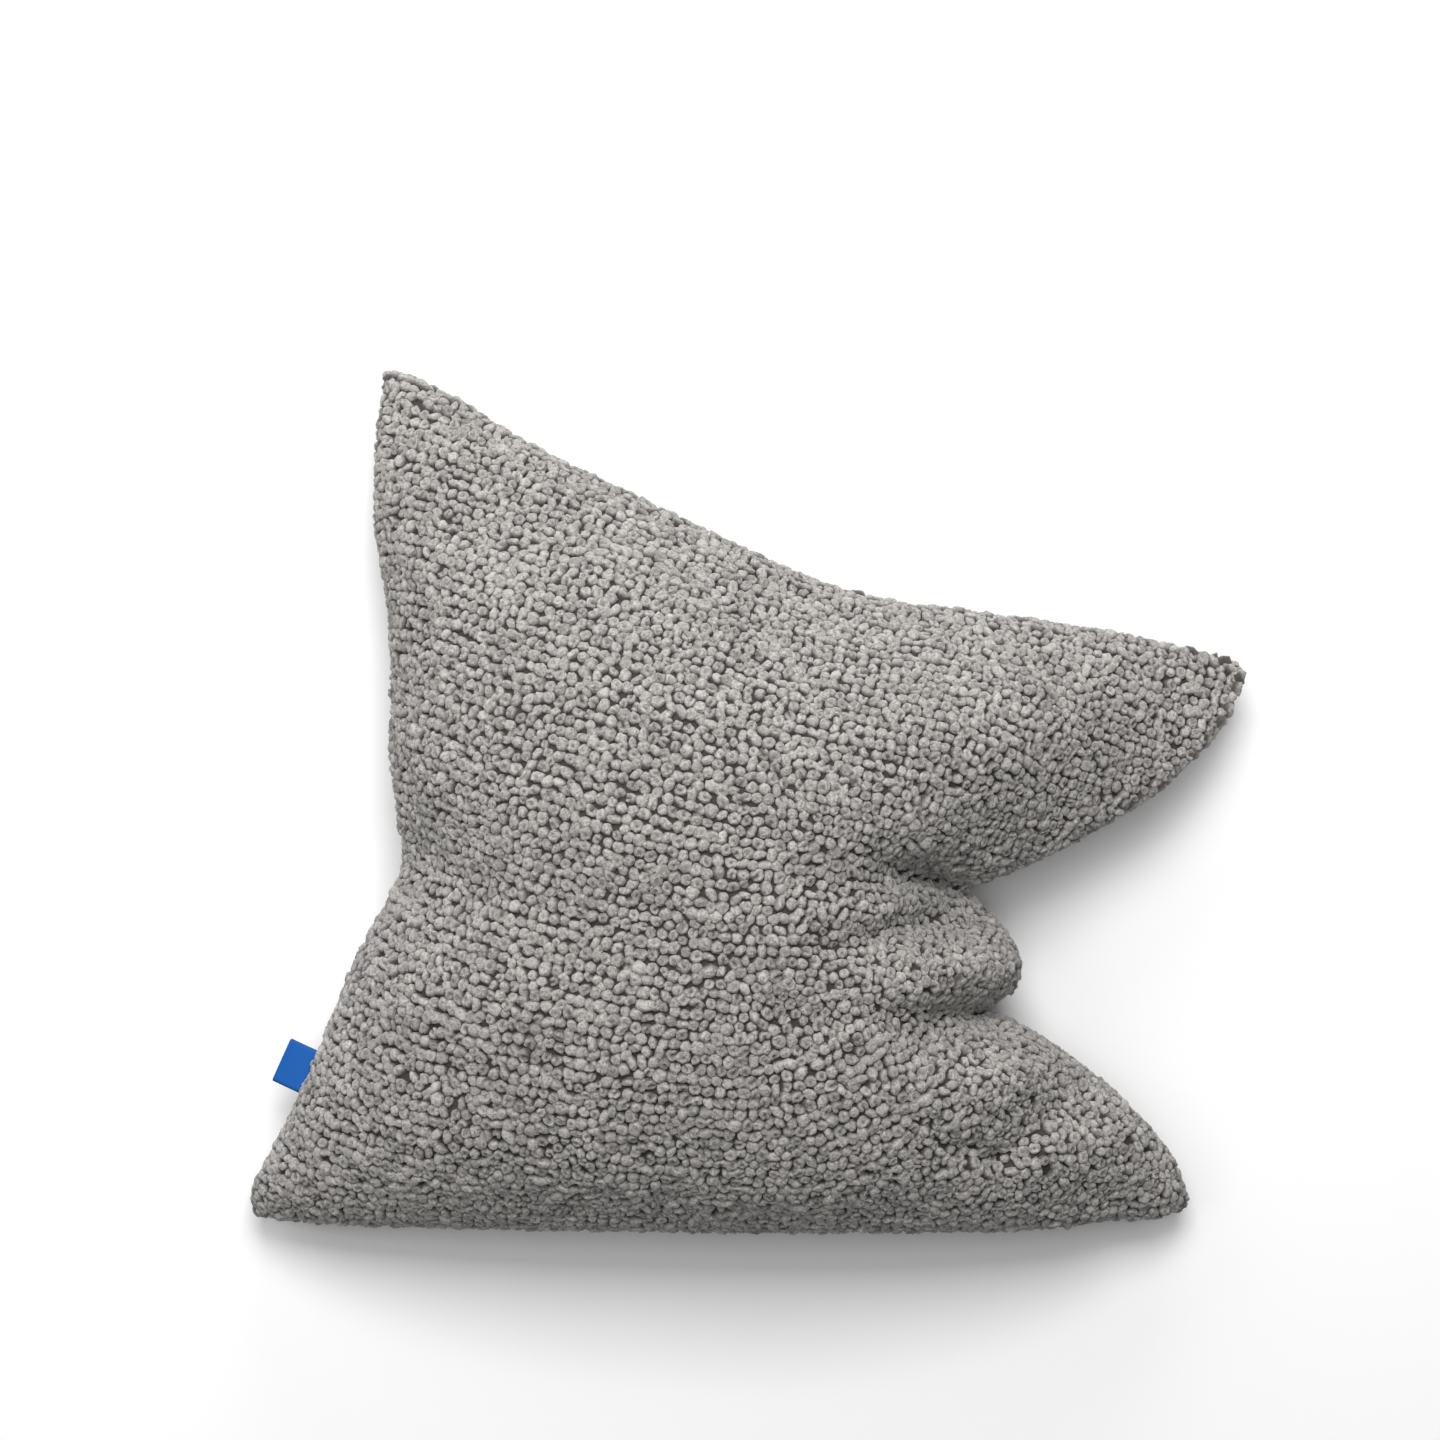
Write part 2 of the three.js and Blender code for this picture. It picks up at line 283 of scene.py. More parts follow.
# The studio, in metres and watts
LAMPS = {
    "high_softbox": Lamp((0, 1.2, 2.4), (0, 0, 0.05), 55),
    "low_softbox": Lamp((0.2, 2.1, 0.7), (0, 0, 0.05), 17),
    "corner_softbox": Lamp((-1.3, 1.3, 1.2), (0, 0, 0.05), 9),
    "left_softbox": Lamp((-1.2, 0, 2.4), (0, 0, 0.05), 10),
    "overhead": Lamp((0, 0, 3), (0, 0, 0), 22),
}
LAMP_SIZE = 1.2
SKY_STRENGTH = 0.04
FLOOR_REACH = 6


def smoothstep(share):
    """The cubic from 0 to 1 that is level at both ends."""
    share = np.clip(share, 0, 1)
    return share * share * (3 - 2 * share)


def mix(low, high, share):
    """The straight run from low at 0 to high at 1."""
    return low + (high - low) * share


def sewn_side(stations):
    """A uniform Catmull-Rom curve through the stations, sampled in short steps and read by the
    share of its cloth, which is its length so far plus the cloth hidden in tucks so far."""
    table = Station(*np.array(stations, float).T)
    points = np.stack([table.x, table.y, table.z], 1)
    ends = np.vstack([2 * points[0] - points[1], points, 2 * points[-1] - points[-2]])
    before, start, end, after = (ends[k:len(ends) - 3 + k, None] for k in range(4))
    t = np.linspace(0, 1, STEPS_PER_STATION, endpoint=False)[None, :, None]
    shown = (
        (2 * t**3 - 3 * t**2 + 1) * start
        + (t**3 - 2 * t**2 + t) * (end - before) / 2
        + (3 * t**2 - 2 * t**3) * end
        + (t**3 - t**2) * (after - start) / 2
    )
    shown = np.vstack([shown.reshape(-1, 3), points[-1]])
    hidden = (table.tuck[1:] + table.tuck[:-1]) / 2
    hidden = np.repeat(hidden, STEPS_PER_STATION) / STEPS_PER_STATION
    used = np.cumsum(np.linalg.norm(np.diff(shown, axis=0), axis=1) + hidden)
    share = np.concatenate([[0], used / used[-1]])
    return lambda at: np.stack([np.interp(at, share, shown[:, k]) for k in range(3)], -1)


top, left, bottom, right = map(sewn_side, (TOP_SIDE, LEFT_SIDE, BOTTOM_SIDE, RIGHT_SIDE))


def between_seams(across, down):
    """The Coons sheet between the four seams: the sheet ruled from left to right, plus the one
    ruled from top to bottom, less the one ruled between the corners."""
    a, d = across[..., None], down[..., None]
    corners = [np.array(c[:3], float) for c in (PEAK, FLAP_TIP, LEFT_FOOT, RIGHT_FOOT)]
    upper, lower = mix(corners[0], corners[1], a), mix(corners[2], corners[3], a)
    sides = left(down) * (1 - a) + right(down) * a
    ends = top(across) * (1 - d) + bottom(across) * d
    return sides + ends - mix(upper, lower, d)


def crown(share, near, far):
    """From 0 at both seams to 1 half way: 1 less the distance from the middle to the power of the
    spread, all to the power of the rise, in the form of the nearer side."""
    off = np.abs(2 * share - 1)
    first, second = (np.maximum(1 - off**spread, 0) ** rise for rise, spread in (near, far))
    return np.where(share < 0.5, first, second)


def folded(folds, x, y):
    """The product, over the folds, of 1 less a Gaussian of the distance from the fold's line, whose
    width turns from one side's to the other's round the line's ends."""
    kept = np.ones_like(x)
    for fold in map(Fold._make, folds.values()):
        run = np.array([fold.bx - fold.ax, fold.by - fold.ay], float)
        length = np.hypot(*run)
        from_x, from_y = x - fold.ax, y - fold.ay
        share = np.clip((from_x * run[0] + from_y * run[1]) / length**2, 0, 1)
        off_x, off_y = from_x - share * run[0], from_y - share * run[1]
        off = np.hypot(off_x, off_y)
        facing = (run[0] * off_y - run[1] * off_x) / (length * np.maximum(off, 1e-6))
        width = mix(fold.below, fold.above, (1 + facing) / 2)
        taken = mix(fold.at_a, fold.at_b, smoothstep(share))
        kept = kept * (1 - taken * np.exp(-((off / width) ** 2)))
    return kept


def rested(height):
    """A height eased into the flat at 0 by a parabola, over twice the blend."""
    eased = np.maximum(height + REST_BLEND, 0) ** 2 / (4 * REST_BLEND)
    return np.where(height >= REST_BLEND, height, eased)


def on_panel(side, across, down):
    """A place on the face (side 1) or the back (side -1): the sheet between the seams, drawn in at
    the seam by the groove, and raised or dropped by the crown times what the folds leave of it."""
    sheet = between_seams(across, down)
    forms = FACE_FORMS if side > 0 else BACK_FORMS
    filled = crown(across, forms["left"], forms["right"])
    filled = filled * crown(down**FILLING_SLUMP, forms["top"], forms["bottom"])
    folds = FACE_FOLDS | CREASES if side > 0 else BACK_FOLDS
    height = filled * folded(folds, sheet[..., 0], sheet[..., 1])
    height = height * (FACE_RISE if side > 0 else BACK_DROP)
    inset = GROOVE_DEPTH / (FLAP_TIP[0] - LEFT_FOOT[0]) * 2 * np.exp(-height / GROOVE_HEIGHT)
    place = between_seams(mix(across, 0.5, inset), mix(down, 0.5, inset))
    level = sheet[..., 2]
    place[..., 2] = level + height if side > 0 else rested(level - height)
    return place


def crowded(share):
    """Shares that lie closer together towards both ends, part way to a cosine's."""
    return mix(share, (1 - np.cos(np.pi * share)) / 2, EDGE_CROWDING)


def unit(vectors):
    """Each vector over its length."""
    return vectors / np.maximum(np.linalg.norm(vectors, axis=-1, keepdims=True), 1e-12)


class Panel:
    """One panel of the cover as a grid of points in metres, read between its points."""

    def __init__(self, side, cells):
        self.side = side
        self.across = crowded(np.linspace(0, 1, cells[0] + 1))
        self.down = crowded(np.linspace(0, 1, cells[1] + 1))
        across, down = np.meshgrid(self.across, self.down)
        self.points = on_panel(side, across, down) * MM

    def outward(self):
        """Normals as the cross product of the grid's two gradients, out of this panel."""
        along = np.gradient(self.points, axis=1)
        below = np.gradient(self.points, axis=0)
        return unit(np.cross(below, along)) * self.side

    def row_line(self, share):
        """Where a weave row crosses each of the grid's down lines: at the same share of the
        line's length on the surface, so that the rows stay evenly apart over the crown."""
        steps = np.linalg.norm(np.diff(self.points, axis=0), axis=2)
        run = np.vstack([np.zeros(steps.shape[1]), np.cumsum(steps, axis=0)])
        run = run / run[-1]
        return np.array([np.interp(s, run[:, k], self.down) for k, s in enumerate(share)])

    def scattered(self, number, rng):
        """Shares of random spots, spread evenly over the surface by the areas of its cells."""
        along, below = np.diff(self.points, axis=1)[:-1], np.diff(self.points, axis=0)[:, :-1]
        area = np.linalg.norm(np.cross(along, below), axis=2)
        cells = rng.choice(area.size, number, p=(area / area.sum()).ravel())
        i, j = np.unravel_index(cells, area.shape)
        s, t = rng.uniform(0, 1, (2, number))
        across = mix(self.across[j], self.across[j + 1], s)
        return np.stack([across, mix(self.down[i], self.down[i + 1], t)], 1)

    def read(self, grid, across, down):
        """The grid's value by bilinear steps between its four nearest points."""
        col = np.interp(across, self.across, np.arange(len(self.across)))
        row = np.interp(down, self.down, np.arange(len(self.down)))
        j = np.minimum(col.astype(int), len(self.across) - 2)
        i = np.minimum(row.astype(int), len(self.down) - 2)
        s, t = (col - j)[..., None], (row - i)[..., None]
        upper = mix(grid[i, j], grid[i, j + 1], s)
        lower = mix(grid[i + 1, j], grid[i + 1, j + 1], s)
        return mix(upper, lower, t)


def placed(name, data):
    """An object at the origin, in the scene."""
    piece = bpy.data.objects.new(name, data)
    bpy.context.scene.collection.objects.link(piece)
    return piece


def placed_mesh(name, points, faces, material):
    """A smooth-shaded object at the origin from its points and its arrays of faces."""
    mesh = bpy.data.meshes.new(name)
    mesh.vertices.add(len(points))
    mesh.vertices.foreach_set("co", np.asarray(points, np.float32).ravel())
    sides = np.concatenate([np.full(len(part), part.shape[1]) for part in faces])
    corners = np.concatenate([part.ravel() for part in faces])
    mesh.loops.add(len(corners))
    mesh.loops.foreach_set("vertex_index", corners.astype(np.int32))
    mesh.polygons.add(len(sides))
    mesh.polygons.foreach_set("loop_start", (np.cumsum(sides) - sides).astype(np.int32))
    mesh.polygons.foreach_set("use_smooth", np.ones(len(sides), bool))
    mesh.update(calc_edges=True)
    if material:
        mesh.materials.append(material)
    return placed(name, mesh)


def mapped(piece, name, corners):
    """Gives the piece a UV map with a place for each corner of its faces."""
    layer = piece.data.uv_layers.new(name=name)
    layer.data.foreach_set("uv", np.asarray(corners, np.float32).ravel())


def shell_numbers(rows, columns):
    """Point numbers of the face's grid and of the back's, which share their border."""
    face = np.arange(rows * columns).reshape(rows, columns)
    back = face.copy()
    inner = (rows - 2) * (columns - 2)
    back[1:-1, 1:-1] = rows * columns + np.arange(inner).reshape(rows - 2, columns - 2)
    return face, back


def quads(numbers, side):
    """The grid's cells as quads that face out of the panel."""
    a, b, c, d = numbers[:-1, :-1], numbers[1:, :-1], numbers[1:, 1:], numbers[:-1, 1:]
    order = (a, b, c, d) if side > 0 else (a, d, c, b)
    return np.stack(order, -1).reshape(-1, 4)


def shell(face_points, back_points):
    """The points and quads of both panels joined round their border."""
    rows, columns = face_points.shape[:2]
    face, back = shell_numbers(rows, columns)
    points = np.vstack([face_points.reshape(-1, 3), back_points[1:-1, 1:-1].reshape(-1, 3)])
    return points, np.vstack([quads(face, 1), quads(back, -1)])


class Value:
    """A socket in a material, with arithmetic that adds Math nodes."""

    def __init__(self, finish, socket):
        self.finish = finish
        self.socket = socket

    def math(self, operation, *values):
        """A Math node's operation on the values, which may be this one's own."""
        return self.finish.node("Math", {"operation": operation}, *values)

    def __add__(self, other):
        return self.math("ADD", self, other)

    def __sub__(self, other):
        return self.math("SUBTRACT", self, other)

    def __rsub__(self, other):
        return self.math("SUBTRACT", other, self)

    def __mul__(self, other):
        return self.math("MULTIPLY", self, other)

    def __pow__(self, other):
        return self.math("POWER", self, other)

    __radd__ = __add__
    __rmul__ = __mul__


class Finish:
    """A material being put together from nodes."""

    def __init__(self, name):
        self.material = bpy.data.materials.new(name)
        self.material.use_nodes = True
        self.tree = self.material.node_tree
        self.tree.nodes.clear()

    def node(self, kind, settings=None, *inputs, output=0, **named):
        """Adds a node, applies its settings, then feeds its sockets by order and by name, apart
        from those given None. In a name an underscore stands for a space."""
        made = self.tree.nodes.new("ShaderNode" + kind)
        for key, value in (settings or {}).items():
            setattr(made, key, value)
        feeds = list(zip(made.inputs, inputs))
        feeds += [(made.inputs[key.replace("_", " ")], value) for key, value in named.items()]
        for socket, value in feeds:
            if isinstance(value, Value):
                self.tree.links.new(value.socket, socket)
            elif value is not None:
                socket.default_value = value
        return Value(self, made.outputs[output]) if made.outputs else None

    def mixed(self, share, first, second):
        """A colour between two colours. A Mix node's five sockets before its two for colours are
        for numbers and vectors, and are left alone."""
        others = [None] * 5
        return self.node("Mix", {"data_type": "RGBA"}, share, *others, first, second, output=2)

    def eased(self, value, low, high):
        """Smoothly from 0 at the low value to 1 at the high one."""
        settings = {"interpolation_type": "SMOOTHSTEP"}
        return self.node("MapRange", settings, value, low, high, 0.0, 1.0)

    def bumped(self, height, strength, distance):
        """A normal tilted by the slope of a height."""
        return self.node("Bump", None, Strength=strength, Distance=distance, Height=height)

    def done(self, **sockets):
        """Feeds a Principled surface, puts it out and returns the material."""
        self.node("OutputMaterial", None, self.node("BsdfPrincipled", None, **sockets))
        return self.material


def looped_yarn():
    """Warm grey wool, wound up on itself. On each knob a furrow follows a spiral, where the turns
    counted outwards less the turns counted round come to a whole number, on coordinates that
    noise has warped, and only in places. Plies follow the spiral too, tufts and fibres are noise
    in place, and shade is painted in: the knob darkens towards its foot, its dimple and its
    mouth by its height, and in the furrow, as painted shade in the groove."""
    finish = Finish("looped_yarn")
    place = finish.node("TexCoord", None, output="Object")
    curl = finish.node("Attribute", {"attribute_name": "curl"}, output="Vector")
    height = finish.node("Attribute", {"attribute_name": "height"}, output="Fac")
    x, y, tone = (finish.node("SeparateXYZ", None, curl, output=k) for k in range(3))
    warp = finish.node("TexNoise", None, Vector=place, Scale=WARP_SCALE, Detail=1, output="Color")
    warp_x, warp_y, kept = (finish.node("SeparateXYZ", None, warp, output=k) for k in range(3))
    x, y = x + (warp_x - 0.5) * SPIRAL_WARP, y + (warp_y - 0.5) * SPIRAL_WARP
    angle = y.math("ARCTAN2", y, x)
    turns_out = (x * x + y * y) ** 0.5 * (tone * SPIRAL_TURNS_MORE + SPIRAL_TURNS)
    turns = turns_out - angle * (1 / (2 * math.pi))
    off_line = (turns.math("FRACT", turns) - 0.5) * 2
    furrow = finish.eased(off_line * off_line, *FURROW_EDGE) * finish.eased(kept, *FURROW_SHOWS)
    along_ply = [turns * PLIES_A_TURN, angle * PLIES_ROUND, tone * PLIES_SHIFT]
    strand = finish.node("CombineXYZ", None, *along_ply)
    plies = finish.node("TexNoise", None, Vector=strand, Scale=1, Detail=2, Roughness=0.6)
    fibres = finish.node("TexNoise", None, Vector=place, Scale=FIBRE_SCALE, Detail=3, Roughness=0.7)
    drift = finish.node("TexNoise", None, Vector=place, Scale=DRIFT_SCALE, Detail=2)
    tufts = finish.node("TexNoise", None, Vector=place, Scale=TUFT_SCALE, Detail=1)
    paleness = tone * 0.2 + drift * 0.2 + plies * 0.5 + tufts * 0.8 + fibres * 0.5
    lit = finish.mixed(finish.eased(paleness, *PALE_RANGE), LIGHT_YARN, PALE_YARN)
    # Painted shade: darker towards each knob's foot, in its dimple and at its mouth, by its height
    foot = finish.eased(height + fibres * 0.4, *FOOT_SHADE_RANGE)
    # Painted shade in the furrow: the colour darkens by the furrow's share
    colour = finish.mixed(foot * (1 - furrow * FURROW_PAINTED_SHADE), DARK_YARN_AND_PAINTED_SHADE, lit)
    bump = finish.bumped(plies * 0.6 + tufts + fibres * 0.6 - furrow, 0.85, YARN_RELIEF)
    return finish.done(
        Base_Color=colour, Roughness=0.92, Normal=bump, Sheen_Weight=0.3, Sheen_Roughness=0.5
    )


def ground_cloth_and_painted_shade():
    """The woven ground between the knobs: fine ribs that waver, broken up by noise. Its dark
    colour is partly the yarn's own and partly painted shade between the knobs.
    """
    finish = Finish("ground_cloth_and_painted_shade")
    place = finish.node("TexCoord", None, output="Object")
    ribs = finish.node("TexWave", {"bands_direction": "Y"}, Vector=place, Scale=160, Distortion=1.5)
    noise = finish.node("TexNoise", None, Vector=place, Scale=700, Detail=2)
    # Partly painted shade: the ground is coloured close to the dark of the shaded gaps
    colour = finish.mixed(noise, GROUND_YARN_AND_PAINTED_SHADE, DARK_YARN_AND_PAINTED_SHADE)
    bump = finish.bumped(ribs + noise, 0.4, GROUND_RELIEF)
    return finish.done(Base_Color=colour, Roughness=0.95, Normal=bump)


def woven_tape():
    """Blue tape: fine slanting twill lines and cross threads, laid out along its own length."""
    finish = Finish("woven_tape")
    place = finish.node("UVMap", {"uv_map": "weave"})
    twill = finish.node(
        "TexWave", {"bands_direction": "DIAGONAL"}, Vector=place, Scale=0.9, Distortion=0.3
    )
    threads = finish.node("TexWave", {"bands_direction": "Y"}, Vector=place, Scale=0.9)
    colour = finish.mixed(twill, TAPE_WARP, TAPE_WEFT)
    bump = finish.bumped(twill + threads * 0.5, 0.25, TAPE_RELIEF)
    return finish.done(
        Base_Color=colour, Roughness=0.55, Normal=bump, Specular_IOR_Level=0.2
    )


def dress(piece, slot, *nodes):
    """Puts the piece on the one body and hides the imported parts that it stands for.
    The slot is not used.
    """
    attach(piece, "root")
    if nodes:
        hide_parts(*nodes)
    return piece


def knob_places(panel, rng):
    """Places of the knobs. Along a row they lie a pitch apart, measured on the surface, with some
    jitter, and one too near an earlier knob is left out. The rows turn up towards the lower right
    corner. The knobs are then pushed apart and the bare spots filled, in a few rounds. Each knob
    has a place, outward and row directions, and the distance to its neighbours."""
    fine = np.linspace(0, 1, ROW_SAMPLES)
    turned = TURNED_ROWS * smoothstep((panel.across - TURN_ACROSS[0]) / TURN_ACROSS[1])
    found = []
    for row in range(ROWS):
        share = (row + 0.5) / ROWS
        lift = turned * smoothstep((share - TURN_DOWN[0]) / TURN_DOWN[1])
        lift = lift * smoothstep((1 - share) / TURN_END)
        edges = [panel.row_line(share - lift + half / ROWS) for half in (-0.5, 0.5)]
        above, below = (np.interp(fine, panel.across, edge) for edge in edges)
        line = panel.read(panel.points, fine, (above + below) / 2)
        run = np.concatenate([[0], np.cumsum(np.linalg.norm(np.diff(line, axis=0), axis=1))]) / MM
        count = max(round((run[-1] - 2 * SEAM_MARGIN) / KNOB_PITCH), 1)
        pitch = (run[-1] - 2 * SEAM_MARGIN) / count
        stations = SEAM_MARGIN + (np.arange(count) + rng.uniform(*ROW_START)) * pitch
        stations = stations + jitter(count, rng)
        across = np.interp(stations, run, fine)
        wander = 0.5 + jitter(count, rng) / ROW_HEIGHT
        above, below = (np.interp(across, fine, edge) for edge in (above, below))
        found.append(np.column_stack([across, mix(above, below, wander)]))
    found = np.clip(np.vstack(found), SEAM_SHARE, 1 - SEAM_SHARE)
    places = panel.read(panel.points, *found.T)
    clear = nearest(places, places, 1, earlier=True)[:, 0] > KNOB_APART * MM
    found, places = found[clear], places[clear]

    for _ in range(KNOB_ROUNDS):
        found = filled(panel, apart(panel, found), rng)
    found = found[np.argsort(found[:, 1])]
    places, along, _ = tangents(panel, found)
    return np.column_stack([
        places,
        unit(panel.read(panel.outward(), *found.T)),
        unit(along),
        nearest(places, places, NEIGHBOURS)[:, 1:].mean(1) / MM,
    ])


def jitter(count, rng):
    """Random offsets in millimetres from a normal curve, cut off at the cap."""
    return np.clip(rng.normal(0, KNOB_JITTER, count), -JITTER_CAP, JITTER_CAP)


def apart(panel, found):
    """Moves each knob a little away from those around it. The push is turned into shares across
    and down by the panel's two tangents there."""
    places, along, below = tangents(panel, found)
    push = crowding(places) * KNOB_PUSH * MM
    pushed = [(push * along).sum(1), (push * below).sum(1)]
    aa, ab, bb = (along**2).sum(1), (along * below).sum(1), (below**2).sum(1)
    step = [bb * pushed[0] - ab * pushed[1], aa * pushed[1] - ab * pushed[0]]
    step = np.stack(step, 1) / (aa * bb - ab**2)[:, None]
    return np.clip(found + step, SEAM_SHARE, 1 - SEAM_SHARE)


def filled(panel, found, rng):
    """Adds knobs on the barest of many random spots, one by one, until none is too bare."""
    spots = np.clip(panel.scattered(SPOTS, rng), SEAM_SHARE, 1 - SEAM_SHARE)
    places = panel.read(panel.points, *spots.T)
    bare = nearest(places, panel.read(panel.points, *found.T), 1)[:, 0]
    spots, places, bare = (part[bare > KNOB_BARE * MM] for part in (spots, places, bare))
    while len(bare) and bare.max() > KNOB_BARE * MM:
        widest = bare.argmax()
        found = np.vstack([found, spots[widest]])
        bare = np.minimum(bare, np.linalg.norm(places - places[widest], axis=1))
    return found


def tangents(panel, shares):
    """Places on the panel, and how they move per share across and per share down: the difference
    between a place a little after and one a little before, over the shares between them."""
    across, down = shares.T
    found = [panel.read(panel.points, across, down)]
    reach = SEAM_SHARE + TANGENT_SHARE * np.minimum(shares, 1 - shares)
    for way in ((1, 0), (0, 1)):
        after = np.minimum(shares + reach * way, 1)
        before = np.maximum(shares - reach * way, 0)
        moved = panel.read(panel.points, *after.T) - panel.read(panel.points, *before.T)
        found.append(moved / (after - before).sum(1, keepdims=True))
    return found


def squared_gaps(some, others):
    """The squared distances from each place to each of the others: the sum of both their squared
    lengths, less twice their dot product."""
    return (some**2).sum(1)[:, None] + (others**2).sum(1)[None] - 2 * some @ others.T


def crowding(places):
    """For each place, the sum of the unit vectors away from the places within reach, each times
    the square of how far it is inside that reach, as a share."""
    pushes = []
    for start in range(0, len(places), BATCH):
        some = places[start:start + BATCH]
        gap = np.sqrt(np.maximum(squared_gaps(some, places), 1e-8))
        weight = np.maximum(1 - gap / (KNOB_REACH * MM), 0) ** 2 / gap
        pushes.append(weight.sum(1)[:, None] * some - weight @ places)
    return np.vstack(pushes)


def nearest(places, others, number, earlier=False):
    """Distances from each place to its few nearest others, or only to those listed before it."""
    found = []
    for start in range(0, len(places), BATCH):
        some = places[start:start + BATCH]
        square = squared_gaps(some, others)
        if earlier:
            after = np.arange(len(others))[None] >= start + np.arange(len(some))[:, None]
            square[after] = np.inf
        found.append(np.sort(np.partition(square, number, axis=1)[:, :number], axis=1))
    return np.sqrt(np.maximum(np.vstack(found), 0))


def knob_mesh(name, found, rings, sides, material, rng):
    """Many knobs of curled yarn as one mesh. A knob is a low dome of rings round its outward axis,
    stretched and lumpy. Its middle is sunk by the dimple, and its rim is sunk and drawn in at the
    mouth, by a Gaussian of the angle from it."""
    count, heights = len(found), len(rings)
    place, axis, row_way, space = found[:, :3], found[:, 3:6], found[:, 6:9], found[:, 9]
    kinds = Knob(*np.array(list(KNOBS.values()), float).T)
    kind = rng.choice(len(KNOBS), (count, 1, 1), p=kinds.in_100 / 100)
    stretch = kinds.stretch[kind] ** rng.choice([-0.5, 0.5], kind.shape)
    varied = rng.uniform(*KIND_SPREAD, (2, *kind.shape))
    dimple, mouth = kinds.dimple[kind] * varied[0], kinds.mouth[kind] * varied[1]
    size = np.clip(space, *KNOB_SPACE) * rng.normal(1, SIZE_SPREAD, count).clip(*SIZE_LIMITS)

    tilt = rng.normal(0, KNOB_TILT, (count, 2))
    side_way = unit(np.cross(axis, row_way))
    axis = unit(axis + tilt[:, :1] * row_way + tilt[:, 1:] * side_way)
    side_way = unit(np.cross(axis, row_way))
    row_way = np.cross(side_way, axis)
    spin = rng.uniform(0, 2 * np.pi, (count, 1))
    x_way = row_way * np.cos(spin) + side_way * np.sin(spin)
    y_way = np.cross(axis, x_way)

    angle = np.linspace(-np.pi, np.pi, sides, endpoint=False)
    out, up = np.array(rings, float).T[..., None]
    opened = mouth * np.exp(-((angle / MOUTH_ANGLE) ** 2))
    lumps = 1 + KNOB_LUMPS * rng.uniform(-1, 1, (count, heights, sides))
    reach = out * lumps * (1 - MOUTH_INSET * opened)
    level = up - opened * np.maximum(up, 0) * MOUTH_DEPTH + LUMP_RISE * (lumps - 1)
    level[:, -1] -= DIMPLE_RIM * dimple[:, 0]
    x = np.hstack([(reach * np.cos(angle) * stretch).reshape(count, -1), np.zeros((count, 1))])
    y = np.hstack([(reach * np.sin(angle) / stretch).reshape(count, -1), np.zeros((count, 1))])
    middle = MIDDLE_HEIGHT - DIMPLE_DEPTH * dimple[:, 0] - MOUTH_MIDDLE * mouth[:, 0]
    level = np.hstack([level.reshape(count, -1), middle])
    radius = KNOB_RADIUS * size[:, None] * MM
    rise = level * KNOB_HEIGHT * MM * (size[:, None] / np.mean(KNOB_SPACE)) - GROUND_DEPTH * MM
    points = (
        place[:, None] + (x * radius)[..., None] * x_way[:, None]
        + (y * radius)[..., None] * y_way[:, None] + rise[..., None] * axis[:, None]
    )
    points[..., 2] = np.maximum(points[..., 2], REST_CLEARANCE * MM)

    ring = np.arange(heights * sides).reshape(heights, sides)
    after = np.roll(ring, -1, axis=1)
    walls = np.stack([ring[:-1], after[:-1], after[1:], ring[1:]], -1).reshape(-1, 4)
    crown_fan = np.stack([ring[-1], after[-1], np.full(sides, ring.size)], -1)
    foot = ring[:1, ::-1]
    per_knob = ring.size + 1
    each = np.arange(count)[:, None, None] * per_knob
    faces = [(part + each).reshape(-1, part.shape[1]) for part in (walls, crown_fan, foot)]
    piece = placed_mesh(name, points.reshape(-1, 3), faces, material)

    # The bake map: each knob has a square cell, with its rings as circles round the middle and
    # its foot's face as a small circle in the corner
    circle = np.stack([np.cos(angle), np.sin(angle)], -1)
    shares = np.linspace(DISC_RADIUS, DISC_RADIUS / heights, heights)[:, None, None]
    disc = np.vstack([(0.5 + shares * circle).reshape(-1, 2), [[0.5, 0.5]]])
    foot_circle = FOOT_PLACE + FOOT_RADIUS * circle[::-1]
    grid = math.ceil(math.sqrt(count))
    cell = np.stack(np.divmod(np.arange(count), grid), -1)[:, None]
    in_cell = [disc[walls.ravel()], disc[crown_fan.ravel()], foot_circle]
    mapped(piece, "OFBake", np.vstack([((cell + part) / grid).reshape(-1, 2) for part in in_cell]))

    # What the yarn's finish reads: the place across the knob, wound either way, a tone of the
    #     knob's own, and the height up it, by which the finish paints shade towards the foot
    winding = rng.choice([-1, 1], (count, 1)) * np.ones_like(x)
    curl = np.stack([x, y * winding, rng.uniform(0, 1, (count, 1)) * np.ones_like(x)], -1)
    layer = piece.data.attributes.new("curl", "FLOAT_VECTOR", "POINT")
    layer.data.foreach_set("vector", curl.astype(np.float32).ravel())
    layer = piece.data.attributes.new("height", "FLOAT", "POINT")
    layer.data.foreach_set("value", level.astype(np.float32).ravel())
    return piece


def cover(face, back, material):
    """The ground cloth: both panels sunk by the ground depth along their normals."""
    sunk = []
    normals = [panel.outward() for panel in (face, back)]
    seam = unit(normals[0] + normals[1])
    for panel, normal in zip((face, back), normals):
        for edge in (np.s_[0], np.s_[-1], np.s_[:, 0], np.s_[:, -1]):
            normal[edge] = seam[edge]
        points = panel.points - normal * GROUND_DEPTH * MM
        sunk.append(points)
    points, faces = shell(*sunk)
    points[:, 2] = np.maximum(points[:, 2], 2 * REST_CLEARANCE * MM)
    return placed_mesh("cushion_cover", points, [faces], material)


